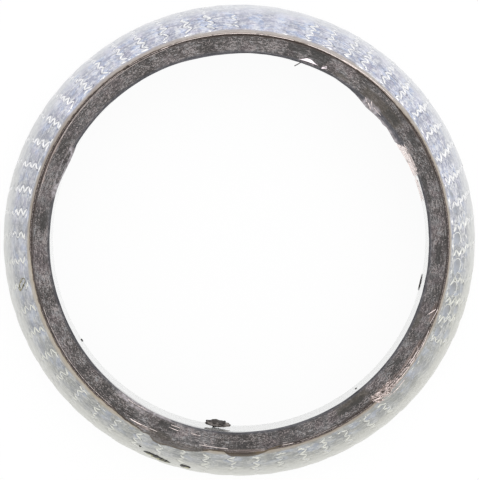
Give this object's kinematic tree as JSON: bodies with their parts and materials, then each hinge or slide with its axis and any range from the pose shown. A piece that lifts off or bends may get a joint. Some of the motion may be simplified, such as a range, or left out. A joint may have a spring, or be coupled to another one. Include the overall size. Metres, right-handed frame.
{
  "type": "exhaust ring gasket",
  "caption": "Spherical-seat exhaust ring gasket: a pressed graphite and wire ring with a pale facing layer, in which rows of knitted wire zigzags show, and a plain round bore.",
  "frame": {"origin": "centre of the large end face, where the bore's axis meets it", "axes": "+Z along the bore, from the large end towards the small end"},
  "size_m": [0.077, 0.077, 0.017],
  "materials": {
    "graphite": "matte pressed graphite and fine wire, speckled, worn",
    "facing": "pale blue-grey dry lubricating layer, satin, mottled",
    "wire": "bright fine stainless wire"
  },
  "bodies": {
    "root": {"graphite_ring": "graphite", "facing_layer": "facing", "knitted_wire": "wire"}
  },
  "joints": []
}
